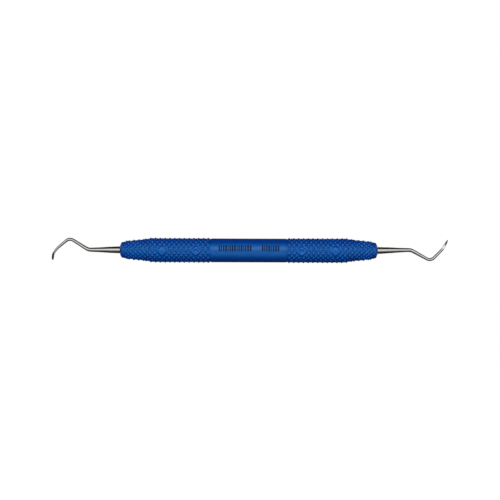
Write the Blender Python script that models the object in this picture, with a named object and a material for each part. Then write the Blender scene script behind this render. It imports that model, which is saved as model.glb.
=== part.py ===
"""Double-ended hand scaler: a one-piece resin handle over a tubular steel core, with a bonded steel tip
in each end. The handle's axis is X, and all the bends of both tips lie in the XZ plane. The straight
pointed blade is at +X and points up; the curved blade is at -X and hooks down. The origin is on the
handle's axis, half way along the whole instrument. Lengths below are in millimetres.
"""

import math

import bmesh
import bpy
from mathutils import Vector

MM = 0.001

# Handle
HANDLE_HALF = 55.06
HANDLE_X = -0.51
BARREL_R = 5.0
GRIP_R = 4.93
NOSE_FACE_R = 2.2
DOME_LENGTH = 1.6
DOME_R = 3.42
CHEEK_LENGTH = 3.1
CHEEK_R = 3.68
TAPER_LENGTH = 12.4
TAPER_R = 4.78
SHOULDER_LENGTH = 13.3

# Raised grip pattern: nubs on a staggered lattice of rows and columns
COLUMNS = 28
ROW_STEP = 1.0286
FIRST_ROW_X = 16.27
FIRST_COLUMN_TURN = math.radians(-4.0)
ROWS = 36
NUB_HEIGHT = 0.26
TAPER_NUB_HEIGHT = 0.18
NOSE_NUB_HEIGHT = 0.1
SHOULDER_NUB_HEIGHT = 0.09
SHOULDER_ROWS = (26, 28)
PARTING_COLUMNS = (8, 22)
PARTING_SHARE = 0.35
RING_ROW = 6
PAD_ROW = 20
PAD_COLUMNS = (0, 14)
PAD_REACH = 2

# Openings inside the handle
SEAL_POCKET_R = 1.95
SEAL_POCKET_DEPTH = 1.3
SHANK_BORE_R = 1.56
SOCKET_CAVITY_START = 3.0
SOCKET_CAVITY_R = 2.65
TUBE_CAVITY_R = 2.25

# Core tube and sockets
TUBE_R = 2.2
TUBE_BORE_R = 1.8
TUBE_HALF = 46.0
SOCKET_MOUTH = 3.1
COLLAR_R = 2.6
COLLAR_GROOVE_R = 2.4
COLLAR_GROOVES = 2
SPIGOT_R = 1.76
SPIGOT_LENGTH = 9.0
SOCKET_BORE_R = 1.2
SOCKET_BORE_DEPTH = 13.7
FIT_GAP = 0.05

# Seals
SEAL_R = 1.92
SEAL_BORE_R = 1.53
SEAL_LENGTH = 1.2

# Tips
TIP_SIDES = 18
TANG_R = 1.15
TANG_GROOVE_R = 1.0
TANG_LENGTH = 12.3
TANG_GROOVES = 3
NOSE_SHANK_R = 1.48
CURVED_END_R = 0.15
STRAIGHT_END_R = 0.07

# Centre line of each tip from the nose outwards: (distance along the axis, height, bend radius)
CURVED_LINE = (
    (0.0, 0.0, 0.0),
    (13.65, 0.0, 4.4),
    (21.75, 5.06, 2.7),
    (27.1, 0.56, 7.0),
    (28.83, -2.0, 3.3),
    (28.93, -4.35, 0.0),
)
STRAIGHT_LINE = (
    (0.0, 0.02, 0.0),
    (5.0, 0.15, 40.0),
    (14.45, 0.3, 4.3),
    (23.0, -4.38, 2.6),
    (27.95, 0.64, 3.0),
    (30.26, 4.64, 0.0),
)

# Sections along each centre line: (distance along the line, depth in the plane of the bends,
# width across it, how far the section has turned from round to the blade's triangle)
CURVED_SECTIONS = (
    (0.0, 2.92, 2.92, 0.0),
    (4.2, 2.56, 2.56, 0.0),
    (8.5, 2.0, 2.0, 0.0),
    (11.9, 1.74, 1.74, 0.0),
    (14.5, 1.52, 1.52, 0.0),
    (17.7, 1.33, 1.33, 0.0),
    (22.6, 1.24, 1.24, 0.0),
    (26.6, 1.14, 1.14, 0.0),
    (28.2, 1.04, 1.06, 0.0),
    (29.5, 0.96, 0.96, 0.0),
    (30.8, 0.9, 0.9, 0.15),
    (31.8, 0.88, 0.84, 0.55),
    (32.6, 0.88, 0.78, 1.0),
    (33.4, 0.86, 0.72, 1.0),
    (34.2, 0.8, 0.58, 1.0),
    (34.9, 0.7, 0.42, 1.0),
)
STRAIGHT_SECTIONS = (
    (0.0, 2.94, 2.94, 0.0),
    (5.7, 2.37, 2.37, 0.0),
    (10.0, 1.82, 1.82, 0.0),
    (13.4, 1.58, 1.58, 0.0),
    (16.5, 1.46, 1.46, 0.0),
    (21.5, 1.23, 1.23, 0.0),
    (24.0, 1.23, 1.23, 0.0),
    (27.5, 1.12, 1.12, 0.0),
    (30.7, 1.04, 1.02, 0.0),
    (31.4, 1.02, 0.96, 0.2),
    (32.2, 0.98, 0.88, 0.5),
    (32.7, 0.92, 0.8, 0.8),
    (33.2, 0.86, 0.72, 1.0),
    (33.8, 0.74, 0.58, 1.0),
    (34.5, 0.54, 0.36, 1.0),
)


def clear_scene():
    for obj in list(bpy.data.objects):
        bpy.data.objects.remove(obj, do_unlink=True)


def make_material(name, colour, roughness, metallic):
    material = bpy.data.materials.new(name)
    material.use_nodes = True
    shader = material.node_tree.nodes["Principled BSDF"]
    shader.inputs["Base Color"].default_value = (*colour, 1.0)
    shader.inputs["Roughness"].default_value = roughness
    shader.inputs["Metallic"].default_value = metallic
    return material


def add_object(name, points, faces, origin, material):
    """A closed body from points and faces in millimetres, with its origin where it is asked for."""
    mesh = bpy.data.meshes.new(name)
    mesh.from_pydata([(Vector(p) - Vector(origin)) * MM for p in points], [], faces)
    body = bmesh.new()
    body.from_mesh(mesh)
    bmesh.ops.triangulate(body, faces=[f for f in body.faces if len(f.verts) == 4])
    bmesh.ops.recalc_face_normals(body, faces=body.faces)
    body.to_mesh(mesh)
    body.free()
    mesh.materials.append(material)
    obj = bpy.data.objects.new(name, mesh)
    obj.location = Vector(origin) * MM
    bpy.context.scene.collection.objects.link(obj)
    return obj


def on_circle(x, radius, part):
    angle = FIRST_COLUMN_TURN + 2.0 * math.pi * part
    return (x, -radius * math.cos(angle), radius * math.sin(angle))


def around(x, radius, count):
    """Points on a circle about the handle's axis. The first faces -Y, and they climb towards +Z."""
    points = []
    for i in range(count):
        points.append(on_circle(x, radius, i / count))
    return points


def bridge(first, second, count):
    """Quads between two rings of the same count, given by the index of their first points."""
    faces = []
    for i in range(count):
        k = (i + 1) % count
        faces.append((first + i, first + k, second + k, second + i))
    return faces


def stack(rings, hollow):
    """Joins rings of one count into a body, capped at both ends, or closed on itself if hollow."""
    count = len(rings[0])
    points = [p for ring in rings for p in ring]
    faces = []
    for j in range(len(rings) - 1):
        faces += bridge(j * count, (j + 1) * count, count)
    last = (len(rings) - 1) * count
    if hollow:
        faces += bridge(last, 0, count)
    else:
        faces.append(tuple(range(count)))
        faces.append(tuple(range(last, last + count)))
    return points, faces


def nose_x(side):
    return HANDLE_X + side * HANDLE_HALF


# ---------------------------------------------------------------- handle


def outer_radius(from_nose):
    """Radius of the handle between its nubs, at a distance from its nose."""
    if from_nose <= DOME_LENGTH:
        rise = 1.0 - (1.0 - from_nose / DOME_LENGTH) ** 3
        return NOSE_FACE_R + (DOME_R - NOSE_FACE_R) * rise
    profile = (
        (DOME_LENGTH, DOME_R),
        (CHEEK_LENGTH, CHEEK_R),
        (TAPER_LENGTH, TAPER_R),
        (SHOULDER_LENGTH, GRIP_R),
    )
    for (start, low), (end, high) in zip(profile, profile[1:]):
        if from_nose <= end:
            return low + (high - low) * (from_nose - start) / (end - start)
    return GRIP_R


def nub_height(row):
    if row < SHOULDER_ROWS[0]:
        return NUB_HEIGHT
    if row < SHOULDER_ROWS[1]:
        return SHOULDER_NUB_HEIGHT
    along = (row - SHOULDER_ROWS[1]) / (ROWS - 1 - SHOULDER_ROWS[1])
    return TAPER_NUB_HEIGHT + (NOSE_NUB_HEIGHT - TAPER_NUB_HEIGHT) * along


def steps_from(row, column, middle_row):
    """Lattice steps from the middle of the nearer of the two features in a row, front or back."""
    across = min(
        min(abs(column - c), COLUMNS - abs(column - c)) for c in PAD_COLUMNS
    )
    return abs(row - middle_row) + across


def is_raised(row, column):
    if row == 0:
        return False
    if steps_from(row, column, PAD_ROW) <= PAD_REACH:
        return True
    if steps_from(row, column, RING_ROW) < PAD_REACH:
        return False
    return (row + column) % 2 == 0


def lattice_ring(side, row):
    """One row of the pattern. The nubs beside the mould's parting line are lower than the rest."""
    from_nose = HANDLE_HALF - FIRST_ROW_X - ROW_STEP * row
    base = outer_radius(from_nose)
    x = HANDLE_X + side * (FIRST_ROW_X + ROW_STEP * row)
    ring = []
    for i in range(COLUMNS):
        height = nub_height(row) if is_raised(row, i) else 0.0
        if i in PARTING_COLUMNS:
            height *= PARTING_SHARE
        ring.append(on_circle(x, base + height, i / COLUMNS))
    return ring


def ridge_cell(row, column):
    """Whether a cell lies on the edge of a pad or a ring, so that its crease joins the raised points."""
    for middle in (RING_ROW, PAD_ROW):
        steps = sorted(
            steps_from(row + a, (column + b) % COLUMNS, middle) for a in (0, 1) for b in (0, 1)
        )
        if steps == [PAD_REACH - 1, PAD_REACH, PAD_REACH, PAD_REACH + 1]:
            return True
    return False


def lattice_faces(first, second, row):
    """Triangles between lattice rows, creased so that each nub is a four-sided pyramid."""
    faces = []
    for i in range(COLUMNS):
        k = (i + 1) % COLUMNS
        a, b, c, d = first + i, first + k, second + k, second + i
        crease_on_even = ridge_cell(row, i)
        even_first = (row + i) % 2 == 0
        if even_first == crease_on_even:
            faces += [(a, b, c), (a, c, d)]
        else:
            faces += [(a, b, d), (b, c, d)]
    return faces


def handle_shell(material):
    points = []
    faces = []

    def add_ring(ring):
        points.extend(ring)
        return len(points) - len(ring)

    dome_steps = (1.6, 1.0, 0.55, 0.22, 0.0)
    outer_end = {}
    mouth = {}
    barrel_ring = {}
    for side in (-1, 1):
        fine = add_ring(around(HANDLE_X + side * FIRST_ROW_X, BARREL_R, 2 * COLUMNS))
        barrel_ring[side] = fine
        previous = add_ring(lattice_ring(side, 1))
        for i in range(COLUMNS):
            k = (i + 1) % COLUMNS
            left, middle, right = fine + 2 * i, fine + 2 * i + 1, fine + 2 * k
            faces += [
                (previous + i, left, middle),
                (previous + i, middle, previous + k),
                (previous + k, middle, right),
            ]
        for row in range(2, ROWS):
            ring = add_ring(lattice_ring(side, row))
            faces += lattice_faces(previous, ring, row - 1)
            previous = ring
        for step in dome_steps:
            x = HANDLE_X + side * (HANDLE_HALF - step)
            ring = add_ring(around(x, outer_radius(step), COLUMNS))
            faces += bridge(previous, ring, COLUMNS)
            previous = ring
        outer_end[side] = previous
        mouth[side] = add_ring(around(nose_x(side), SEAL_POCKET_R, COLUMNS))
        faces += bridge(outer_end[side], mouth[side], COLUMNS)
    faces += bridge(barrel_ring[-1], barrel_ring[1], 2 * COLUMNS)

    bore = (
        (SEAL_POCKET_DEPTH, SEAL_POCKET_R),
        (SEAL_POCKET_DEPTH, SHANK_BORE_R),
        (SOCKET_CAVITY_START, SHANK_BORE_R),
        (SOCKET_CAVITY_START, SOCKET_CAVITY_R),
        (HANDLE_HALF - TUBE_HALF, SOCKET_CAVITY_R),
        (HANDLE_HALF - TUBE_HALF, TUBE_CAVITY_R),
    )
    inner = {}
    for side in (-1, 1):
        previous = mouth[side]
        for depth, radius in bore:
            ring = add_ring(around(HANDLE_X + side * (HANDLE_HALF - depth), radius, COLUMNS))
            faces += bridge(previous, ring, COLUMNS)
            previous = ring
        inner[side] = previous
    faces += bridge(inner[-1], inner[1], COLUMNS)
    return add_object("handle_shell", points, faces, (HANDLE_X, 0, 0), material)


# ---------------------------------------------------------------- core and seals


def core_tube(material):
    ends = (HANDLE_X - TUBE_HALF, HANDLE_X + TUBE_HALF)
    rings = [
        around(ends[0], TUBE_BORE_R, COLUMNS),
        around(ends[0], TUBE_R, COLUMNS),
        around(ends[1], TUBE_R, COLUMNS),
        around(ends[1], TUBE_BORE_R, COLUMNS),
    ]
    points, faces = stack(rings, hollow=True)
    return add_object("core_tube", points, faces, (HANDLE_X, 0, 0), material)


def socket(name, side, material):
    """A turned socket: a grooved collar outside the tube, a spigot inside it, and a blind bore."""
    collar_end = HANDLE_HALF - TUBE_HALF - FIT_GAP
    spigot_end = collar_end + SPIGOT_LENGTH
    profile = [
        (SOCKET_MOUTH + SOCKET_BORE_DEPTH, SOCKET_BORE_R),
        (SOCKET_MOUTH + 0.2, SOCKET_BORE_R),
        (SOCKET_MOUTH, SOCKET_BORE_R + 0.2),
        (SOCKET_MOUTH, COLLAR_R - 0.2),
        (SOCKET_MOUTH + 0.2, COLLAR_R),
    ]
    pitch = (collar_end - SOCKET_MOUTH) / (COLLAR_GROOVES + 1)
    for i in range(COLLAR_GROOVES):
        middle = SOCKET_MOUTH + pitch * (i + 1)
        profile += [
            (middle - 0.5, COLLAR_R),
            (middle - 0.3, COLLAR_GROOVE_R),
            (middle + 0.3, COLLAR_GROOVE_R),
            (middle + 0.5, COLLAR_R),
        ]
    profile += [
        (collar_end, COLLAR_R),
        (collar_end, SPIGOT_R),
        (spigot_end - 0.3, SPIGOT_R),
        (spigot_end, SPIGOT_R - 0.3),
    ]
    rings = [around(nose_x(side) - side * d, r, COLUMNS) for d, r in profile]
    points, faces = stack(rings, hollow=False)
    return add_object(name, points, faces, (nose_x(side) - side * SOCKET_MOUTH, 0, 0), material)


def seal(name, side, material):
    """The ring that closes the pocket in the nose around the shank."""
    inner_end = nose_x(side) - side * SEAL_LENGTH
    rings = [
        around(nose_x(side), SEAL_BORE_R, COLUMNS),
        around(nose_x(side), SEAL_R, COLUMNS),
        around(inner_end, SEAL_R, COLUMNS),
        around(inner_end, SEAL_BORE_R, COLUMNS),
    ]
    points, faces = stack(rings, hollow=True)
    return add_object(name, points, faces, (nose_x(side), 0, 0), material)


# ---------------------------------------------------------------- tips


def centre_line(corners, step):
    """Points and headings along straight runs joined by arcs, with their distance along the line."""
    runs = []
    start = Vector(corners[0][:2])
    for i in range(1, len(corners)):
        corner = Vector(corners[i][:2])
        before = (corner - Vector(corners[i - 1][:2])).normalized()
        if i == len(corners) - 1:
            runs.append((start, corner, before, before, 0.0))
            break
        after = (Vector(corners[i + 1][:2]) - corner).normalized()
        turn = before.angle_signed(after)
        radius = corners[i][2]
        reach = radius * math.tan(abs(turn) / 2.0)
        runs.append((start, corner - before * reach, before, before, 0.0))
        start = corner + after * reach
        runs.append((corner - before * reach, start, before, after, radius))
    line = []
    travelled = 0.0
    for a, b, before, after, radius in runs:
        turn = -before.angle_signed(after) if radius else 0.0
        length = radius * abs(turn) if radius else (b - a).length
        count = max(1, round(length / (step if radius == 0.0 else 0.4 * step)))
        for i in range(count):
            part = i / count
            heading = math.atan2(before.y, before.x) + turn * part
            if radius:
                chord = 2.0 * radius * math.sin(abs(turn) * part / 2.0)
                point = a + chord * heading_vector(heading - turn * part / 2.0)
            else:
                point = a.lerp(b, part)
            line.append((travelled + length * part, point, heading))
        travelled += length
    end = runs[-1]
    line.append((travelled, end[1], math.atan2(end[3].y, end[3].x)))
    return line


def heading_vector(angle):
    return Vector((math.cos(angle), math.sin(angle)))


def section_at(sections, distance, total, end_radius):
    """Depth, width and triangle share between the listed sections, and down to the end."""
    table = list(sections) + [(total, 2.0 * end_radius, 2.0 * end_radius, 1.0)]
    for low, high in zip(table, table[1:]):
        if distance <= high[0] + 1e-9:
            part = max(0.0, (distance - low[0]) / (high[0] - low[0]))
            return tuple(a + (b - a) * part for a, b in zip(low[1:], high[1:]))
    return table[-1][1:]


def section_point(turn, depth, width, blade):
    """One point of the section. Turn 0 is the middle of the face, and half a turn is the back edge."""
    angle = abs(turn)
    side = math.copysign(1.0, turn)
    corner = math.pi / 3.0
    if angle <= corner:
        flat = (1.0, side * angle / corner)
    else:
        part = (angle - corner) / (math.pi - corner)
        flat = (1.0 - 2.0 * part, side * (1.0 - part))
    inward = (1.0 - blade) * math.cos(turn) + blade * flat[0]
    across = (1.0 - blade) * math.sin(turn) + blade * flat[1]
    return inward * depth / 2.0, across * width / 2.0


def tip(name, side, corners, sections, end_radius, material):
    """Tang, shank and blade in one piece. The blade's face looks down at -X and up at +X."""
    inner_turn = side
    shoulder = SOCKET_MOUTH - FIT_GAP
    tang_end = shoulder + TANG_LENGTH
    profile = [(tang_end, TANG_R - 0.25), (tang_end - 0.3, TANG_R)]
    pitch = TANG_LENGTH / (TANG_GROOVES + 1)
    for i in range(TANG_GROOVES):
        middle = tang_end - pitch * (i + 1)
        profile += [
            (middle + 0.55, TANG_R),
            (middle + 0.35, TANG_GROOVE_R),
            (middle - 0.35, TANG_GROOVE_R),
            (middle - 0.55, TANG_R),
        ]
    profile += [(shoulder, TANG_R), (shoulder, NOSE_SHANK_R)]

    rings = []
    turns = [2.0 * math.pi * i / TIP_SIDES for i in range(TIP_SIDES)]
    turns = [t if t <= math.pi + 1e-9 else t - 2.0 * math.pi for t in turns]
    for depth, radius in profile:
        x = nose_x(side) - side * depth
        rings.append(
            [(x, radius * math.sin(t), inner_turn * radius * math.cos(t)) for t in turns]
        )
    line = centre_line(corners, 0.9)
    total = line[-1][0]
    for distance, point, heading in line:
        depth, width, blade = section_at(sections, distance, total, end_radius)
        normal = heading_vector(heading + inner_turn * math.pi / 2.0)
        ring = []
        for t in turns:
            inward, across = section_point(t, depth, width, blade)
            place = point + normal * inward
            ring.append((nose_x(side) + side * place.x, across, place.y))
        rings.append(ring)
    points, faces = stack(rings, hollow=False)
    return add_object(name, points, faces, (nose_x(side), 0, 0), material)


def main():
    clear_scene()
    resin = make_material("blue_resin", (0.02, 0.11, 0.38), 0.35, 0.0)
    tip_steel = make_material("tip_steel", (0.62, 0.61, 0.60), 0.22, 1.0)
    core_steel = make_material("core_steel", (0.55, 0.56, 0.57), 0.4, 1.0)
    epoxy = make_material("seal_epoxy", (0.01, 0.05, 0.2), 0.3, 0.0)
    handle_shell(resin)
    core_tube(core_steel)
    socket("socket_curved_end", -1, core_steel)
    socket("socket_straight_end", 1, core_steel)
    seal("seal_curved_end", -1, epoxy)
    seal("seal_straight_end", 1, epoxy)
    tip("tip_curved", -1, CURVED_LINE, CURVED_SECTIONS, CURVED_END_R, tip_steel)
    tip("tip_straight", 1, STRAIGHT_LINE, STRAIGHT_SECTIONS, STRAIGHT_END_R, tip_steel)


main()
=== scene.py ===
"""Looks for the double-ended hand scaler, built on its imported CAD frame.

The handle's axis is X. The handle, both tips and both seals are rebuilt in fine geometry over their CAD
nodes; the core tube and the two sockets inside stay as the CAD has them. Lengths are in millimetres
unless a name says otherwise, and are turned into metres where a mesh is made.
"""

import math

import bpy
import numpy as np
from mathutils import Matrix, Vector


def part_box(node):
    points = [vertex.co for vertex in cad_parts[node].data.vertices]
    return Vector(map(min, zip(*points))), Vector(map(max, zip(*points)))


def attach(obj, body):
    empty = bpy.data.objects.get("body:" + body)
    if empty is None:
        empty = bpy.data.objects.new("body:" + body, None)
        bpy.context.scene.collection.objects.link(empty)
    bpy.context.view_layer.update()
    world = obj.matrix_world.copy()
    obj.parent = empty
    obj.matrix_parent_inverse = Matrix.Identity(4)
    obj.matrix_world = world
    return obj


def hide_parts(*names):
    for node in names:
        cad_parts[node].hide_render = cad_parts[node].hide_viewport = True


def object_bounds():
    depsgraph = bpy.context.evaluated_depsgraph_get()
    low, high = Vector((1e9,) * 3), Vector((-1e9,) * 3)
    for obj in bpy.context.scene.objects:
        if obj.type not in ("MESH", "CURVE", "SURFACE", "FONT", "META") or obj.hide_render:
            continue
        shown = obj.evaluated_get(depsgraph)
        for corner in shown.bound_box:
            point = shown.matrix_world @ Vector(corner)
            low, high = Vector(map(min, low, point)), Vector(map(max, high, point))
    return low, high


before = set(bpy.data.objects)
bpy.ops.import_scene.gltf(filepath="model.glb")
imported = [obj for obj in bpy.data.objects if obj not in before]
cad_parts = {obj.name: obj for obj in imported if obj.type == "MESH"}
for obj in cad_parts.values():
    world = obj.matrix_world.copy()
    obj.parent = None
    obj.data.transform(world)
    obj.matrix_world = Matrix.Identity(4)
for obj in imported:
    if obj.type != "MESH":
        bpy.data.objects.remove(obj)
rest_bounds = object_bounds()

MM = 0.001


def box_mm(node):
    low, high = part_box(node)
    return np.array(low) / MM, np.array(high) / MM


SHELL_LOW, SHELL_HIGH = box_mm("handle_shell")
TUBE_LOW, TUBE_HIGH = box_mm("core_tube")
SEAL_LOW, SEAL_HIGH = box_mm("seal_straight_end")
SOCKET_HIGH = box_mm("socket_straight_end")[1]

# Handle
HANDLE_X = (SHELL_LOW[0] + SHELL_HIGH[0]) / 2.0
HANDLE_HALF = (SHELL_HIGH[0] - SHELL_LOW[0]) / 2.0
BARREL_R = 5.1
GRIP_R = 4.93
NOSE_FACE_R = 2.02
DOME_LENGTH = 1.6
DOME_R = 3.33
CHEEK_LENGTH = 3.1
CHEEK_R = 3.58
TAPER_LENGTH = 12.4
TAPER_R = 4.72
SHOULDER_LENGTH = 13.3
DOME_RINGS_LENGTH = 2.4
PROFILE_EASE = 0.45
SAG = 0.105  # how far the barrel and the grips lie under the tips' axis, fitted to the photograph
SAG_ENDS = (44.0, 37.0)

# Raised pattern
COLUMNS = 28
ROW_STEP = 1.0286
FIRST_ROW_X = 16.27
FIRST_COLUMN_TURN = math.radians(-4.0)
LAST_ROW = 37
NUB_REACH = 0.82
TAPER_NUB_REACH = 1.0
NEIGHBOUR_SHARE = 0.68
TAPER_REACH_ROWS = (28.0, 33.0)
NUB_HEIGHT = 0.45
NUB_ROWS = (25.0, 26.0, 28.0, 32.0, 34.0, 35.0, 36.0, 37.0)
NUB_HEIGHTS = (NUB_HEIGHT, 0.36, 0.36, 0.56, 0.54, 0.48, 0.22, 0.24)
PARTING_COLUMNS = (8, 22)
PARTING_SHARE = 0.51
TAPER_PARTING_COLUMNS = (7, 21)
TAPER_PARTING_SHARE = 0.3
TAPER_ROWS = (28, 34)
RING_ROW = 6
PAD_ROW = 20
CLEAR_STEPS = 3
PAD_HALF = 2.2
RING_HALF_LENGTH = 2.45
RING_HALF_WIDTH = 1.95
RING_BAND = 0.58
RING_FALL = 0.12
RING_HEIGHT = 0.46
DISH_DEPTH = 0.5
DISH_REACH = 0.88
PAD_HEIGHT = 0.34
PAD_EDGE = (-0.4, 0.2)
RING_EDGE = (-0.3, 0.15)
CORNER_EASE = 0.1
SKIRT_REACH = 1.0
FRONT_SHARE = 0.82
TAPER_FRONT_SHARE = 0.66
SIDES_PER_COLUMN = 6
STEPS_PER_ROW = 6

# Painted light on the pattern: how strongly each feature lightens the resin's colour as a painted
# highlight on nub crests, ring frames and skirts, and how much the dish inside the ring darkens it as
# painted shade
NUB_PAINTED_HIGHLIGHT = 1.2
SKIRT_PAINTED_LIGHT = 0.6
RING_PAINTED_HIGHLIGHT = 0.35
DISH_PAINTED_SHADE = -0.5
PAD_GLOSS = 0.6

# Openings inside the handle
CORE_GAP = 0.05
POCKET_R = SEAL_HIGH[2] + 0.03
POCKET_EDGE = 0.04
POCKET_EDGE_DEPTH = 0.08
POCKET_DEPTH = SEAL_HIGH[0] - SEAL_LOW[0] + 0.1
SHANK_BORE_R = 1.56
SOCKET_CAVITY_START = SHELL_HIGH[0] - SOCKET_HIGH[0] - 0.1
SOCKET_CAVITY_R = SOCKET_HIGH[2] + CORE_GAP
TUBE_CAVITY_R = TUBE_HIGH[2] + CORE_GAP
TUBE_HALF = (TUBE_HIGH[0] - TUBE_LOW[0]) / 2.0

# Seals
SEAL_R = SEAL_HIGH[2]
SEAL_BORE_R = 1.53
SEAL_LENGTH = SEAL_HIGH[0] - SEAL_LOW[0]
SEAL_SIDES = 96
MENISCUS_DEPTH = 0.1

# Tips
TIP_SIDES = 60
TIP_STEP = 0.16
TANG_START = SOCKET_CAVITY_START + CORE_GAP
TANG_R = 1.15
TANG_GROOVE_R = 1.0
TANG_LENGTH = 12.3
TANG_GROOVES = 3
SECTION_EASE = 0.45
NOSE_SHANK_R = 1.48
CURVED_END_R = 0.2
STRAIGHT_END_R = 0.12

# Centre line of each tip from the nose outwards: (distance along the axis, height, bend radius)
CURVED_LINE = (
    (0.0, 0.0, 0.0),
    (13.65, 0.0, 4.4),
    (21.75, 5.06, 2.7),
    (27.1, 0.56, 7.0),
    (28.83, -2.0, 3.3),
    (28.93, -4.35, 0.0),
)
STRAIGHT_LINE = (
    (0.0, 0.02, 0.0),
    (5.0, 0.15, 40.0),
    (14.45, 0.3, 4.3),
    (23.0, -4.38, 2.6),
    (27.95, 0.64, 3.0),
    (30.26, 4.64, 0.0),
)

# Sections along each centre line: (distance along the line, depth in the plane of the bends,
# width across it, share of the blade's triangle, share of a square with flat sides, turn in degrees)
CURVED_SECTIONS = (
    (0.0, 3.0, 3.0, 0.0, 0.0, 0.0),
    (4.2, 2.68, 2.68, 0.0, 0.0, 0.0),
    (8.5, 2.12, 2.12, 0.0, 0.0, 0.0),
    (11.9, 1.84, 1.84, 0.0, 0.0, 0.0),
    (14.5, 1.62, 1.62, 0.0, 0.0, 0.0),
    (17.7, 1.43, 1.43, 0.0, 0.0, 0.0),
    (22.6, 1.34, 1.34, 0.0, 0.0, 0.0),
    (26.6, 1.22, 1.22, 0.0, 0.0, 0.0),
    (28.2, 1.14, 1.14, 0.0, 0.0, 0.0),
    (29.5, 1.06, 1.06, 0.0, 0.0, 0.0),
    (30.8, 1.0, 0.98, 0.1, 0.0, 0.0),
    (31.8, 0.97, 0.92, 0.55, 0.0, 0.0),
    (32.6, 0.96, 0.86, 1.0, 0.0, 0.0),
    (33.4, 0.94, 0.8, 1.0, 0.0, 0.0),
    (34.2, 0.88, 0.66, 1.0, 0.0, 0.0),
    (34.9, 0.78, 0.5, 1.0, 0.0, 0.0),
)
STRAIGHT_SECTIONS = (
    (0.0, 3.0, 3.0, 0.0, 0.0, 0.0),
    (5.7, 2.48, 2.48, 0.0, 0.0, 0.0),
    (10.0, 1.93, 1.93, 0.0, 0.0, 0.0),
    (13.4, 1.68, 1.68, 0.0, 0.0, 0.0),
    (16.5, 1.56, 1.56, 0.0, 0.0, 0.0),
    (21.5, 1.33, 1.33, 0.0, 0.0, 0.0),
    (24.0, 1.33, 1.33, 0.0, 0.0, 0.0),
    (27.5, 1.22, 1.22, 0.0, 0.0, 0.0),
    (30.7, 1.14, 1.12, 0.0, 0.0, 15.0),
    (31.3, 1.12, 1.05, 0.0, 1.0, 15.0),
    (31.9, 1.1, 0.99, 0.0, 1.0, 12.0),
    (32.35, 1.06, 0.93, 0.1, 0.7, 6.0),
    (32.85, 1.0, 0.88, 0.45, 0.2, 0.0),
    (33.5, 0.9, 0.76, 0.75, 0.0, 0.0),
    (34.5, 0.64, 0.46, 0.8, 0.0, 0.0),
)

# Printed marking: plain upright bars in two groups on the smooth barrel
MARK_TURN = 10.5
MARK_HEIGHT = 2.5
MARK_GROUPS = ((-12.7, 1.1, 15), (5.6, 12.9, 8))
MARK_WIDTHS = (0.62, 0.4, 0.5, 0.72, 0.36, 0.56, 0.66)
MARK_THICKNESS = 0.012
MARK_SINK = 0.02
MARK_STEPS = 9

# Camera
CAMERA_DISTANCE = 0.45
CAMERA_FRAME = 0.2143
CAMERA_ROLL = math.radians(0.178)
CAMERA_SHIFT = Vector((0.00004, 0.0, 0.0001))


# ---------------------------------------------------------------- mesh helpers


def smooth_step(low, high, value):
    part = np.clip((value - low) / (high - low), 0.0, 1.0)
    return part * part * (3.0 - 2.0 * part)


def ring_faces(rings, sides, closed):
    """Quads between neighbouring rings of points, with the last joined to the first if closed."""
    ring = np.arange(rings if closed else rings - 1)[:, None]
    side = np.arange(sides)[None, :]
    following = (ring + 1) % rings
    beside = (side + 1) % sides
    return np.stack(
        [
            ring * sides + side,
            ring * sides + beside,
            following * sides + beside,
            following * sides + side,
        ],
        axis=-1,
    ).reshape(-1, 4)


def outward(points, quads, caps):
    """Turns all faces over if the body they bound is inside out."""
    a, b, c, d = (points[quads[:, k]] for k in range(4))
    total = np.sum(np.cross(b, c) * a) + np.sum(np.cross(c, d) * a)
    for cap in caps:
        fan = points[np.array(cap)]
        total += np.sum(np.cross(fan[1:-1], fan[2:]) * fan[0])
    if total < 0.0:
        quads = quads[:, ::-1]
        caps = [cap[::-1] for cap in caps]
    return quads, caps


def add_piece(name, points, quads, caps, material, lay=None):
    """A closed body from points in millimetres. It rides on the one body that the frame has."""
    quads, caps = outward(points, quads, caps)
    faces = quads.tolist() + [list(cap) for cap in caps]
    mesh = bpy.data.meshes.new(name)
    mesh.from_pydata((points * MM).tolist(), [], faces)
    mesh.validate()
    mesh.update()
    mesh.shade_smooth()
    mesh.set_sharp_from_angle(angle=math.radians(32.0))
    if lay is not None:
        layer = mesh.attributes.new(name="lay", type="FLOAT_VECTOR", domain="POINT")
        layer.data.foreach_set("vector", lay.astype(np.float32).ravel())
    mesh.materials.append(material)
    piece = bpy.data.objects.new(name, mesh)
    bpy.context.scene.collection.objects.link(piece)
    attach(piece, "root")
    return piece


def turned_rings(stations, angles):
    """Rings about the handle's axis from x and a radius, which may differ round the ring."""
    rings = []
    for x, radius, *_ in stations:
        radius = np.broadcast_to(radius, angles.shape)
        rings.append(
            np.stack([np.full(angles.shape, x), -radius * np.cos(angles), radius * np.sin(angles)], axis=1)
        )
    return np.array(rings)


# ---------------------------------------------------------------- handle


def sharp_radius(from_nose):
    rise = 1.0 - (1.0 - np.clip(from_nose / DOME_LENGTH, 0.0, 1.0)) ** 3
    dome = NOSE_FACE_R + (DOME_R - NOSE_FACE_R) * rise
    body = np.interp(
        from_nose,
        (DOME_LENGTH, CHEEK_LENGTH, TAPER_LENGTH, SHOULDER_LENGTH),
        (DOME_R, CHEEK_R, TAPER_R, GRIP_R),
    )
    return np.where(from_nose < DOME_LENGTH, dome, body)


def valley_radius(from_nose):
    """Radius between the nubs, with the changes of slope eased over a short length."""
    reach = np.minimum(PROFILE_EASE, 0.4 * from_nose)
    total = np.zeros_like(from_nose)
    shifts = np.linspace(-1.0, 1.0, 9)
    for shift in shifts:
        total += sharp_radius(from_nose + shift * reach)
    return total / len(shifts)


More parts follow.
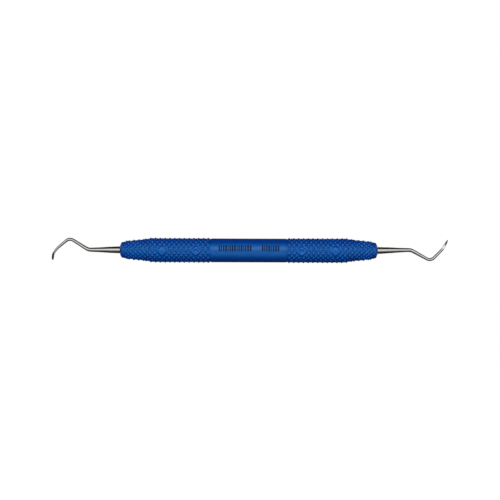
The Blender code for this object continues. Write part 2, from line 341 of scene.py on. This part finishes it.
def nub_height(row, column):
    """Full in the grip, lowest at the shoulder, and lower along the mould's parting line."""
    height = np.interp(row, NUB_ROWS, NUB_HEIGHTS)
    turned = column % COLUMNS
    in_grip = (row < TAPER_ROWS[0]) & np.isin(turned, PARTING_COLUMNS)
    on_taper = (row >= TAPER_ROWS[0]) & (row <= TAPER_ROWS[1]) & np.isin(turned, TAPER_PARTING_COLUMNS)
    height = height * np.where(in_grip, PARTING_SHARE, np.where(on_taper, TAPER_PARTING_SHARE, 1.0))
    turn = FIRST_COLUMN_TURN + 2.0 * math.pi * turned / COLUMNS
    share = np.interp(row, TAPER_REACH_ROWS, (FRONT_SHARE, TAPER_FRONT_SHARE))
    return height * (share + (1.0 - share) * np.sin(turn) ** 2)


def column_gap(column):
    """Columns to the nearer of the two lines of pads, front and back, with its sign."""
    half = COLUMNS / 2.0
    return (column + half / 2.0) % half - half / 2.0


def relief(from_centre, angles, radius):
    """Height of the nubs over the valleys all round at one place, and what figures() gives there."""
    row = (from_centre - FIRST_ROW_X) / ROW_STEP
    column = (angles - FIRST_COLUMN_TURN) / (2.0 * math.pi / COLUMNS)
    arc = 2.0 * math.pi * radius / COLUMNS
    first = np.round((row + column) / 2.0)
    second = np.round((row - column) / 2.0)
    site_row = first + second
    site_column = first - second
    away = np.hypot((row - site_row) * ROW_STEP, (column - site_column) * arc)
    widest = np.interp(row, TAPER_REACH_ROWS, (NUB_REACH, TAPER_NUB_REACH))
    reach = min(widest, NEIGHBOUR_SHARE * math.hypot(ROW_STEP, arc))
    height = nub_height(site_row, site_column) * np.cos(np.minimum(away / reach, 1.0) * math.pi / 2.0) ** 2
    allowed = (site_row >= 1) & (site_row <= LAST_ROW)
    for middle in (RING_ROW, PAD_ROW):
        steps = np.abs(site_row - middle) + np.abs(column_gap(site_column))
        allowed &= steps > CLEAR_STEPS
    height = np.where(allowed, height, 0.0)
    across = np.abs(column_gap(column)) * arc
    return height, figures(row, across)


def inside(row, across, middle, half_length, half_width):
    """Distance in from the edge of a rhombus in the pattern, negative outside it."""
    along = np.hypot((row - middle) * ROW_STEP, CORNER_EASE) / half_length
    beside = np.hypot(across, CORNER_EASE) / half_width
    return (1.0 - along - beside) * half_length * half_width / math.hypot(half_length, half_width)


def figures(row, across):
    """Shares of pad and ring, the depth of the dish inside the ring, and the share of the skirt."""
    on_pad = inside(row, across, PAD_ROW, PAD_HALF, PAD_HALF)
    pad = smooth_step(*PAD_EDGE, on_pad)
    depth = inside(row, across, RING_ROW, RING_HALF_LENGTH, RING_HALF_WIDTH)
    edge = smooth_step(*RING_EDGE, depth)
    dish = 1.0 - (1.0 - np.clip((depth - RING_BAND) / DISH_REACH, 0.0, 1.0)) ** 2
    fall = RING_FALL * np.clip(depth, 0.0, RING_BAND)
    return pad, edge, DISH_DEPTH * dish + fall, smooth_step(-SKIRT_REACH, 0.0, np.maximum(on_pad, depth))


def outer_stations(side, angles):
    """(x, radius, lay) from the middle of the barrel to the nose face.

    lay carries painted light for the resin: how much lighter it is painted on nub crests, skirts and ring
    frames and how much darker in the ring's dish, how far it is in the pattern, and how far on a figure.
    """
    pattern_start = FIRST_ROW_X - 0.75 * ROW_STEP
    dome_start = HANDLE_HALF - DOME_RINGS_LENGTH
    count = round((dome_start - pattern_start) / ROW_STEP * STEPS_PER_ROW)
    from_centre = np.concatenate(
        [
            np.linspace(0.0, pattern_start, 15)[:-1],
            np.linspace(pattern_start, dome_start, count),
            HANDLE_HALF - DOME_RINGS_LENGTH * (1.0 - np.linspace(0.0, 1.0, 27)[1:]) ** 1.4,
        ]
    )
    stations = []
    for distance in from_centre:
        valley = float(valley_radius(np.array([HANDLE_HALF - distance]))[0])
        plain = smooth_step(FIRST_ROW_X + 0.1, FIRST_ROW_X - 0.5, distance)
        radius = valley + (BARREL_R - valley) * plain
        nubs, (pad, ring, dish, skirt) = relief(distance, angles, valley)
        nubs = nubs * smooth_step(0.0, 0.5, HANDLE_HALF - distance)
        # Painted light: nub crests, skirts and ring frames are painted lighter as a painted highlight, and
        # the dish inside the ring darker as painted shade.
        painted_tone = np.maximum(NUB_PAINTED_HIGHLIGHT * nubs / NUB_HEIGHT, SKIRT_PAINTED_LIGHT * skirt)
        painted_tone = painted_tone + ring * (RING_PAINTED_HIGHLIGHT + DISH_PAINTED_SHADE * dish / DISH_DEPTH)
        pattern = np.full(painted_tone.shape, 1.0 - plain)
        lay = np.stack([painted_tone, pattern, PAD_GLOSS * pad + ring], axis=1)
        radius = radius + nubs + PAD_HEIGHT * pad + RING_HEIGHT * ring - dish
        stations.append((HANDLE_X + side * distance, radius, lay))
    return stations


def bore_stations(side):
    """(x, radius) from the nose face inwards to the start of the tube's cavity."""
    profile = (
        (0.0, POCKET_R + POCKET_EDGE),
        (POCKET_EDGE_DEPTH, POCKET_R),
        (POCKET_DEPTH, POCKET_R),
        (POCKET_DEPTH, SHANK_BORE_R),
        (SOCKET_CAVITY_START, SHANK_BORE_R),
        (SOCKET_CAVITY_START, SOCKET_CAVITY_R),
        (HANDLE_HALF - TUBE_HALF, SOCKET_CAVITY_R),
        (HANDLE_HALF - TUBE_HALF, TUBE_CAVITY_R),
    )
    return [(HANDLE_X + side * (HANDLE_HALF - depth), radius) for depth, radius in profile]


def build_handle(material):
    sides = COLUMNS * SIDES_PER_COLUMN
    angles = FIRST_COLUMN_TURN + 2.0 * math.pi * np.arange(sides) / sides
    left = outer_stations(-1.0, angles)
    right = outer_stations(1.0, angles)
    stations = left[::-1] + right[1:] + bore_stations(1.0) + bore_stations(-1.0)[::-1]
    rings = turned_rings(stations, angles)
    quads = ring_faces(len(rings), sides, closed=True)
    lay = np.zeros_like(rings)
    for index, (x, _, station_lay) in enumerate(left[::-1] + right[1:]):
        lay[index] = station_lay
        rings[index, :, 2] -= SAG * smooth_step(*SAG_ENDS, abs(x - HANDLE_X))
    piece = add_piece(
        "handle_shell_visual", rings.reshape(-1, 3), quads, [], material, lay.reshape(-1, 3)
    )
    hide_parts("handle_shell")
    return float(rings[:, :, 2].min())


# ---------------------------------------------------------------- seals


def build_seal(name, node, side, material):
    """A bonded ring round the shank. Its outer face dips in a shallow meniscus."""
    angles = 2.0 * math.pi * np.arange(SEAL_SIDES) / SEAL_SIDES
    nose = HANDLE_X + side * HANDLE_HALF
    stations = []
    for part in np.linspace(0.0, 1.0, 9):
        radius = SEAL_BORE_R + (SEAL_R - SEAL_BORE_R) * part
        dip = MENISCUS_DEPTH * math.sin(math.pi * part)
        stations.append((nose - side * dip, radius))
    stations.append((nose - side * SEAL_LENGTH, SEAL_R))
    stations.append((nose - side * SEAL_LENGTH, SEAL_BORE_R))
    rings = turned_rings(stations, angles)
    quads = ring_faces(len(rings), len(angles), closed=True)
    piece = add_piece(name, rings.reshape(-1, 3), quads, [], material)
    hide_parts(node)


# ---------------------------------------------------------------- tips


def heading_vector(angle):
    return Vector((math.cos(angle), math.sin(angle)))


def centre_line(corners, step):
    """Points and headings along straight runs joined by arcs, with their distance along the line."""
    runs = []
    start = Vector(corners[0][:2])
    for i in range(1, len(corners)):
        corner = Vector(corners[i][:2])
        before = (corner - Vector(corners[i - 1][:2])).normalized()
        if i == len(corners) - 1:
            runs.append((start, corner, before, before, 0.0))
            break
        after = (Vector(corners[i + 1][:2]) - corner).normalized()
        turn = before.angle_signed(after)
        radius = corners[i][2]
        reach = radius * math.tan(abs(turn) / 2.0)
        runs.append((start, corner - before * reach, before, before, 0.0))
        start = corner + after * reach
        runs.append((corner - before * reach, start, before, after, radius))
    line = []
    travelled = 0.0
    for a, b, before, after, radius in runs:
        turn = -before.angle_signed(after) if radius else 0.0
        length = radius * abs(turn) if radius else (b - a).length
        count = max(1, round(length / step))
        for i in range(count):
            part = i / count
            heading = math.atan2(before.y, before.x) + turn * part
            if radius:
                chord = 2.0 * radius * math.sin(abs(turn) * part / 2.0)
                point = a + chord * heading_vector(heading - turn * part / 2.0)
            else:
                point = a.lerp(b, part)
            line.append((travelled + length * part, point, heading))
        travelled += length
    end = runs[-1]
    line.append((travelled, end[1], math.atan2(end[3].y, end[3].x)))
    return line


def section_at(sections, end_radius, distance, total):
    """Depth, width and shares of the section, eased between the listed ones and down to the end."""
    table = np.array(list(sections) + [(total, 2.0 * end_radius, 2.0 * end_radius, 1.0, 0.0, 0.0)])
    reach = min(SECTION_EASE, distance, total - distance)
    shifts = distance + reach * np.linspace(-1.0, 1.0, 7)
    return [float(np.mean(np.interp(shifts, table[:, 0], table[:, k]))) for k in range(1, 6)]


def section_ring(turns, depth, width, blade, square, twist):
    """The section's outline. Turn 0 is the middle of the face, and half a turn is the back edge."""
    angle = np.abs(turns)
    sign = np.where(turns < 0.0, -1.0, 1.0)
    corner = math.pi / 3.0
    part = np.clip((angle - corner) / (math.pi - corner), 0.0, 1.0)
    flat_in = np.where(angle <= corner, 1.0, 1.0 - 2.0 * part)
    flat_across = np.where(angle <= corner, sign * angle / corner, sign * (1.0 - part))
    spread = 1.0 + square * (1.0 / np.maximum(np.abs(np.cos(turns)), np.abs(np.sin(turns))) - 1.0)
    inward = (1.0 - blade) * np.cos(turns) * spread + blade * flat_in
    across = (1.0 - blade) * np.sin(turns) * spread + blade * flat_across
    inward = inward * depth / 2.0
    across = across * width / 2.0
    lean = math.radians(twist)
    return (
        inward * math.cos(lean) - across * math.sin(lean),
        inward * math.sin(lean) + across * math.cos(lean),
    )


def tang_profile():
    tang_end = TANG_START + TANG_LENGTH
    profile = [(tang_end, TANG_R - 0.25), (tang_end - 0.3, TANG_R)]
    pitch = TANG_LENGTH / (TANG_GROOVES + 1)
    for i in range(TANG_GROOVES):
        middle = tang_end - pitch * (i + 1)
        profile += [
            (middle + 0.55, TANG_R),
            (middle + 0.35, TANG_GROOVE_R),
            (middle - 0.35, TANG_GROOVE_R),
            (middle - 0.55, TANG_R),
        ]
    profile += [(TANG_START, TANG_R), (TANG_START, NOSE_SHANK_R)]
    return profile


def build_tip(node, side, corners, sections, end_radius, material):
    """Tang, shank and blade in one piece. The blade's face looks back towards the handle."""
    nose = HANDLE_X + side * HANDLE_HALF
    inner_turn = side
    turns = 2.0 * math.pi * np.arange(TIP_SIDES) / TIP_SIDES
    turns = np.where(turns <= math.pi + 1e-9, turns, turns - 2.0 * math.pi)
    rings = []
    lay = []
    for depth, radius in tang_profile():
        x = np.full(TIP_SIDES, nose - side * depth)
        rings.append(
            np.stack([x, radius * np.sin(turns), inner_turn * radius * np.cos(turns)], axis=1)
        )
        lay.append(np.stack([np.full(TIP_SIDES, -depth), np.cos(turns), np.sin(turns)], axis=1))
    line = centre_line(corners, TIP_STEP)
    total = line[-1][0]
    for distance, point, heading in line:
        shape = section_at(sections, end_radius, distance, total)
        normal = heading_vector(heading + inner_turn * math.pi / 2.0)
        inward, across = section_ring(turns, *shape)
        along = nose + side * (point.x + normal.x * inward)
        rings.append(np.stack([along, across, point.y + normal.y * inward], axis=1))
        lay.append(np.stack([np.full(TIP_SIDES, distance), np.cos(turns), np.sin(turns)], axis=1))
    rings = np.array(rings)
    count = len(rings)
    quads = ring_faces(count, TIP_SIDES, closed=False)
    caps = [list(range(TIP_SIDES))[::-1], list(range((count - 1) * TIP_SIDES, count * TIP_SIDES))]
    piece = add_piece(
        node + "_visual", rings.reshape(-1, 3), quads, caps, material, np.array(lay).reshape(-1, 3)
    )
    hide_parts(node)
    return piece


# ---------------------------------------------------------------- printed marking


def bar_points(low, high, turn_low, turn_high):
    """A thin curved bar on the barrel, as rings of four points round its cross-section."""
    rings = []
    inner = BARREL_R - MARK_SINK
    outer = BARREL_R + MARK_THICKNESS
    for turn in np.linspace(turn_low, turn_high, MARK_STEPS):
        ring = []
        for x, radius in ((low, inner), (high, inner), (high, outer), (low, outer)):
            ring.append((HANDLE_X + x, -radius * math.cos(turn), radius * math.sin(turn) - SAG))
        rings.append(ring)
    return np.array(rings).reshape(-1, 3)


def build_marking(material):
    """Plain bars in place of lettering. They carry no words and no mark."""
    half = MARK_HEIGHT / 2.0 / BARREL_R
    middle = math.radians(MARK_TURN)
    points = []
    quads = []
    caps = []
    for start, end, count in MARK_GROUPS:
        widths = [MARK_WIDTHS[i % len(MARK_WIDTHS)] for i in range(count)]
        gap = (end - start - sum(widths)) / (count - 1)
        x = start
        for width in widths:
            bar = bar_points(x, x + width, middle - half, middle + half)
            base = len(points) * len(bar)
            points.append(bar)
            last = base + len(bar) - 4
            quads.append(ring_faces(MARK_STEPS, 4, closed=False) + base)
            caps.append([base + 3, base + 2, base + 1, base])
            caps.append([last, last + 1, last + 2, last + 3])
            x += width + gap
    add_piece("printed_marking", np.concatenate(points), np.concatenate(quads), caps, material)


# ---------------------------------------------------------------- materials


def add_node(tree, kind, inputs=None, **settings):
    """A shader node. An input may be a value or the output of another node."""
    node = tree.nodes.new(kind)
    for key, value in settings.items():
        setattr(node, key, value)
    for key, value in (inputs or {}).items():
        if isinstance(value, bpy.types.NodeSocket):
            tree.links.new(value, node.inputs[key])
        else:
            node.inputs[key].default_value = value
    return node


def math_node(tree, operation, first, second=0.0):
    return add_node(tree, "ShaderNodeMath", {0: first, 1: second}, operation=operation).outputs[0]


def ramp_between(tree, value, low, high, out_low=0.0, out_high=1.0):
    """Eases from out_low at low to out_high at high."""
    node = add_node(
        tree,
        "ShaderNodeMapRange",
        {"Value": value, "From Min": low, "From Max": high, "To Min": out_low, "To Max": out_high},
        interpolation_type="SMOOTHSTEP",
    )
    return node.outputs["Result"]


def mix_colour(tree, factor, first, second, blend="MIX"):
    node = add_node(tree, "ShaderNodeMix", data_type="RGBA", blend_type=blend)
    for key, value in (("Factor_Float", factor), ("A_Color", first), ("B_Color", second)):
        socket = next(s for s in node.inputs if s.identifier == key)
        if isinstance(value, bpy.types.NodeSocket):
            tree.links.new(value, socket)
        else:
            socket.default_value = value
    return next(s for s in node.outputs if s.identifier == "Result_Color")


def noise(tree, vector, scale, detail=3.0, roughness=0.55):
    node = add_node(
        tree,
        "ShaderNodeTexNoise",
        {"Vector": vector, "Scale": scale, "Detail": detail, "Roughness": roughness},
    )
    return node.outputs["Fac"]


def new_material(name):
    material = bpy.data.materials.new(name)
    material.use_nodes = True
    tree = material.node_tree
    return material, tree, tree.nodes["Principled BSDF"]


def set_inputs(tree, shader, inputs):
    for key, value in inputs.items():
        if isinstance(value, bpy.types.NodeSocket):
            tree.links.new(value, shader.inputs[key])
        else:
            shader.inputs[key].default_value = value


def object_position(tree):
    return add_node(tree, "ShaderNodeTexCoord").outputs["Object"]


def bump(tree, height, distance, strength, normal=None):
    inputs = {"Height": height, "Distance": distance, "Strength": strength}
    if normal is not None:
        inputs["Normal"] = normal
    return add_node(tree, "ShaderNodeBump", inputs).outputs["Normal"]


def resin_material():
    """Satin blue moulded resin with faint mottling and a moulded skin. Its colour is painted darker and
    deeper blue at glancing angles as painted shade towards the outline, lighter on nub crests and figures
    as a painted highlight, and darker in the valleys and the ring's dish as painted shade.
    """
    material, tree, shader = new_material("blue_resin")
    place = object_position(tree)
    # Painted shade: the colour turns darker and deeper blue at glancing angles, towards the outline.
    facing = add_node(tree, "ShaderNodeLayerWeight", {"Blend": 0.5}).outputs["Facing"]
    edge = ramp_between(tree, facing, 0.03, 0.3)
    front = (0.0012, 0.168, 0.68, 1.0)
    outline_painted_shade = (0.0004, 0.077, 0.505, 1.0)
    colour = mix_colour(tree, edge, front, outline_painted_shade)
    # Painted light: the colour is made lighter on nub crests and figures as a painted highlight, and
    # darker in the valleys and the ring's dish as painted shade.
    lay = add_node(tree, "ShaderNodeAttribute", attribute_name="lay").outputs["Vector"]
    lay = add_node(tree, "ShaderNodeSeparateXYZ", {"Vector": lay})
    crest_highlight_and_valley_shade = ramp_between(tree, lay.outputs["X"], 0.1, 1.1, -0.1, 0.24)
    painted_tone = math_node(tree, "MULTIPLY", lay.outputs["Y"], crest_highlight_and_valley_shade)
    painted_tone = math_node(tree, "ADD", painted_tone, 1.0)
    painted_tones = add_node(tree, "ShaderNodeCombineColor", {"Red": painted_tone, "Green": painted_tone, "Blue": painted_tone})
    colour = mix_colour(tree, 1.0, colour, painted_tones.outputs["Color"], "MULTIPLY")
    nubbed = math_node(tree, "MULTIPLY", lay.outputs["Y"], -0.07)
    figured = math_node(tree, "MULTIPLY", lay.outputs["Z"], 0.16)
    gloss = math_node(tree, "ADD", math_node(tree, "ADD", nubbed, figured), 0.42)
    mottle = ramp_between(tree, noise(tree, place, 900.0), 0.3, 0.7, 0.94, 1.05)
    shade = add_node(tree, "ShaderNodeCombineColor", {"Red": mottle, "Green": mottle, "Blue": mottle})
    colour = mix_colour(tree, 1.0, colour, shade.outputs["Color"], "MULTIPLY")
    rough = ramp_between(tree, noise(tree, place, 2600.0), 0.3, 0.7, 0.28, 0.38)
    waves = bump(tree, noise(tree, place, 700.0, 2.0), 0.00003, 0.35)
    skin = bump(tree, noise(tree, place, 9000.0, 4.0), 0.00001, 0.35, waves)
    set_inputs(
        tree,
        shader,
        {
            "Base Color": colour,
            "Roughness": rough,
            "Normal": skin,
            "IOR": 1.5,
            "Specular IOR Level": gloss,
            "Specular Tint": (0.78, 0.94, 1.0, 1.0),
        },
    )
    return material


def ink_material():
    """Dark pad-printed ink, a little worn."""
    material, tree, shader = new_material("dark_ink")
    place = object_position(tree)
    wear = ramp_between(tree, noise(tree, place, 3500.0), 0.52, 0.72)
    colour = mix_colour(tree, wear, (0.002, 0.016, 0.07, 1.0), (0.002, 0.06, 0.27, 1.0))
    rough = ramp_between(tree, noise(tree, place, 6000.0), 0.3, 0.7, 0.5, 0.7)
    grain = bump(tree, noise(tree, place, 12000.0), 0.000006, 0.4)
    set_inputs(
        tree,
        shader,
        {"Base Color": colour, "Roughness": rough, "Normal": grain, "Specular IOR Level": 0.25},
    )
    return material


def epoxy_material():
    """Glossy dark blue bonding resin."""
    material, tree, shader = new_material("seal_epoxy")
    place = object_position(tree)
    swirl = ramp_between(tree, noise(tree, place, 2200.0), 0.35, 0.65)
    colour = mix_colour(tree, swirl, (0.002, 0.02, 0.11, 1.0), (0.004, 0.032, 0.16, 1.0))
    rough = ramp_between(tree, noise(tree, place, 3000.0), 0.3, 0.7, 0.12, 0.24)
    ripple = bump(tree, noise(tree, place, 1800.0), 0.00002, 0.4)
    set_inputs(tree, shader, {"Base Color": colour, "Roughness": rough, "Normal": ripple})
    return material


def tip_steel_material():
    """Polished stainless steel with fine lines left along the tip by the finishing wheel."""
    material, tree, shader = new_material("tip_steel")
    lay = add_node(tree, "ShaderNodeAttribute", attribute_name="lay").outputs["Vector"]
    lines = add_node(tree, "ShaderNodeMapping", {"Vector": lay, "Scale": (0.35, 9.0, 9.0)})
    streak = noise(tree, lines.outputs["Vector"], 2.0, 5.0, 0.65)
    place = object_position(tree)
    blotch = noise(tree, place, 500.0)
    colour = mix_colour(
        tree, ramp_between(tree, streak, 0.3, 0.7), (0.35, 0.343, 0.328, 1.0), (0.45, 0.443, 0.43, 1.0)
    )
    rough = math_node(
        tree,
        "ADD",
        ramp_between(tree, streak, 0.3, 0.7, 0.0, 0.07),
        ramp_between(tree, blotch, 0.3, 0.7, 0.16, 0.24),
    )
    grain = bump(tree, streak, 0.000008, 0.35)
    set_inputs(
        tree,
        shader,
        {"Base Color": colour, "Metallic": 1.0, "Roughness": rough, "Normal": grain},
    )
    return material


def core_steel_material():
    """Turned and drawn steel for the tube and the sockets, brushed round the axis."""
    material, tree, shader = new_material("core_steel")
    place = object_position(tree)
    lines = add_node(tree, "ShaderNodeMapping", {"Vector": place, "Scale": (9000.0, 300.0, 300.0)})
    streak = noise(tree, lines.outputs["Vector"], 1.0, 4.0)
    colour = mix_colour(
        tree, ramp_between(tree, streak, 0.3, 0.7), (0.42, 0.43, 0.44, 1.0), (0.58, 0.58, 0.59, 1.0)
    )
    rough = ramp_between(tree, streak, 0.3, 0.7, 0.3, 0.46)
    grain = bump(tree, streak, 0.00001, 0.4)
    set_inputs(
        tree,
        shader,
        {"Base Color": colour, "Metallic": 1.0, "Roughness": rough, "Normal": grain},
    )
    return material


def floor_material():
    """Pale matt paper. Seen almost edge-on it meets the white backdrop without a line."""
    material, tree, shader = new_material("pale_paper")
    place = object_position(tree)
    fibre = ramp_between(tree, noise(tree, place, 400.0, 5.0), 0.3, 0.7)
    colour = mix_colour(tree, fibre, (0.9, 0.9, 0.895, 1.0), (0.92, 0.92, 0.915, 1.0))
    grain = bump(tree, noise(tree, place, 1500.0), 0.00005, 0.2)
    set_inputs(
        tree,
        shader,
        {"Base Color": colour, "Roughness": 0.9, "Specular IOR Level": 0.1, "Normal": grain},
    )
    view = add_node(tree, "ShaderNodeNewGeometry").outputs["Incoming"]
    height = add_node(tree, "ShaderNodeSeparateXYZ", {"Vector": view}).outputs["Z"]
    steep = ramp_between(tree, math_node(tree, "ABSOLUTE", height), 0.08, 0.22)
    glow = add_node(tree, "ShaderNodeEmission", {"Color": (1.0, 1.0, 1.0, 1.0), "Strength": 1.0})
    blend = add_node(tree, "ShaderNodeMixShader", {0: steep})
    tree.links.new(glow.outputs[0], blend.inputs[1])
    tree.links.new(shader.outputs[0], blend.inputs[2])
    output = next(n for n in tree.nodes if n.type == "OUTPUT_MATERIAL")
    tree.links.new(blend.outputs[0], output.inputs["Surface"])
    return material


# ---------------------------------------------------------------- studio


def lobe(tree, rise, sideways, middle, half, soft, reach, strength):
    """A soft rectangular light in the sky. rise is the angle up from the front, in radians."""
    away = math_node(tree, "ABSOLUTE", math_node(tree, "SUBTRACT", rise, math.radians(middle)))
    upright = ramp_between(tree, away, math.radians(half + soft), math.radians(half - soft))
    dark_from = math.sin(math.radians(reach + 10.0))
    full_to = math.sin(math.radians(reach - 10.0))
    level = ramp_between(tree, sideways, dark_from, full_to)
    return math_node(tree, "MULTIPLY", math_node(tree, "MULTIPLY", upright, level), strength)


def build_world():
    """White behind the object for the camera, and a soft studio for everything that it lights."""
    world = bpy.data.worlds.new("studio")
    bpy.context.scene.world = world
    world.use_nodes = True
    tree = world.node_tree
    tree.nodes.clear()
    direction = add_node(tree, "ShaderNodeTexCoord").outputs["Generated"]
    parts = add_node(tree, "ShaderNodeSeparateXYZ", {"Vector": direction})
    x, y, z = (parts.outputs[k] for k in range(3))
    rise = math_node(tree, "ARCTAN2", z, math_node(tree, "MULTIPLY", y, -1.0))
    sideways = math_node(tree, "ABSOLUTE", x)
    behind = math_node(tree, "ABSOLUTE", rise)
    total = lobe(tree, rise, sideways, 21.0, 15.0, 9.0, 42.0, 2.2)
    low = lobe(tree, rise, sideways, -28.0, 15.0, 8.0, 42.0, 0.6)
    back = lobe(tree, behind, sideways, 180.0, 20.0, 8.0, 60.0, 0.45)
    total = math_node(tree, "ADD", total, low)
    total = math_node(tree, "ADD", total, back)
    to_rear = ramp_between(tree, y, 0.15, 0.5)
    to_side = ramp_between(tree, sideways, 0.45, 0.7)
    rear = math_node(tree, "MULTIPLY", to_rear, to_side)
    rear = math_node(tree, "MULTIPLY", rear, ramp_between(tree, z, -0.4, 0.1, 0.0, 1.2))
    total = math_node(tree, "ADD", total, rear)
    above = ramp_between(tree, z, -0.6, 1.0, 0.02, 0.035)
    under = ramp_between(tree, z, -0.3, -1.0, 0.0, 0.03)
    total = math_node(tree, "ADD", total, above)
    total = math_node(tree, "ADD", total, under)
    bright = ramp_between(tree, total, 0.0, 1.2)
    tint = mix_colour(tree, bright, (1.0, 0.93, 0.8, 1.0), (0.93, 0.965, 1.0, 1.0))
    light = add_node(tree, "ShaderNodeBackground", {"Color": tint, "Strength": total})
    white = add_node(tree, "ShaderNodeBackground", {"Color": (1.0, 1.0, 1.0, 1.0), "Strength": 1.0})
    seen = add_node(tree, "ShaderNodeLightPath").outputs["Is Camera Ray"]
    blend = add_node(tree, "ShaderNodeMixShader", {0: seen})
    tree.links.new(light.outputs[0], blend.inputs[1])
    tree.links.new(white.outputs[0], blend.inputs[2])
    output = add_node(tree, "ShaderNodeOutputWorld")
    tree.links.new(blend.outputs[0], output.inputs["Surface"])


def build_floor(material, lowest):
    """A pale floor that the handle rests on, with an overhead light of its own for the soft shadow."""
    mesh = bpy.data.meshes.new("floor")
    size = 4.0
    height = lowest * MM
    corners = [(-size, -size, height), (size, -size, height), (size, size, height), (-size, size, height)]
    mesh.from_pydata(corners, [], [(0, 1, 2, 3)])
    mesh.materials.append(material)
    floor = bpy.data.objects.new("floor", mesh)
    bpy.context.scene.collection.objects.link(floor)
    floor.visible_glossy = False
    floor.visible_diffuse = False
    floor.visible_shadow = False

    place_light("overhead", (0.9, 0.9), 14.0, (0.0, 0.0, 0.8), [floor])


def place_light(name, size, energy, location, receivers):
    """A soft rectangular light aimed at the middle of the handle, falling only on the receivers."""
    data = bpy.data.lights.new(name, "AREA")
    data.shape = "RECTANGLE"
    data.size, data.size_y = size
    data.energy = energy
    lamp = bpy.data.objects.new(name, data)
    lamp.location = location
    lamp.rotation_euler = (-Vector(location)).to_track_quat("-Z", "Y").to_euler()
    lamp.visible_camera = False
    bpy.context.scene.collection.objects.link(lamp)
    lit = bpy.data.collections.new("lit_by_" + name)
    for receiver in receivers:
        lit.objects.link(receiver)
    lamp.light_linking.receiver_collection = lit


def build_camera():
    data = bpy.data.cameras.new("camera")
    data.type = "PERSP"
    data.sensor_width = 36.0
    data.lens = data.sensor_width * CAMERA_DISTANCE / CAMERA_FRAME
    data.clip_start = 0.01
    data.clip_end = 20.0
    camera = bpy.data.objects.new("camera", data)
    low, high = rest_bounds
    middle = (low + high) / 2.0
    place = Vector((middle.x, -CAMERA_DISTANCE, middle.z)) + CAMERA_SHIFT
    turn = Matrix.Rotation(math.radians(90.0), 4, "X") @ Matrix.Rotation(CAMERA_ROLL, 4, "Z")
    camera.matrix_world = Matrix.Translation(place) @ turn
    bpy.context.scene.collection.objects.link(camera)
    bpy.context.scene.camera = camera


def main():
    resin = resin_material()
    epoxy = epoxy_material()
    tip_steel = tip_steel_material()
    core_steel = core_steel_material()
    for name in ("core_tube", "socket_curved_end", "socket_straight_end"):
        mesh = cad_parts[name].data
        mesh.materials.clear()
        mesh.materials.append(core_steel)
    lowest = build_handle(resin)
    build_seal("seal_curved_end_visual", "seal_curved_end", -1.0, epoxy)
    build_seal("seal_straight_end_visual", "seal_straight_end", 1.0, epoxy)
    curved = ("tip_curved", -1.0, CURVED_LINE, CURVED_SECTIONS, CURVED_END_R)
    straight = ("tip_straight", 1.0, STRAIGHT_LINE, STRAIGHT_SECTIONS, STRAIGHT_END_R)
    tips = [build_tip(*tip, tip_steel) for tip in (curved, straight)]
    build_marking(ink_material())
    build_world()
    build_floor(floor_material(), lowest)
    place_light("front", (1.5, 0.36), 2.2, (0.0, -1.0, -0.09), tips)
    build_camera()
    bpy.context.scene.view_settings.view_transform = "Standard"
    bpy.context.view_layer.update()


main()
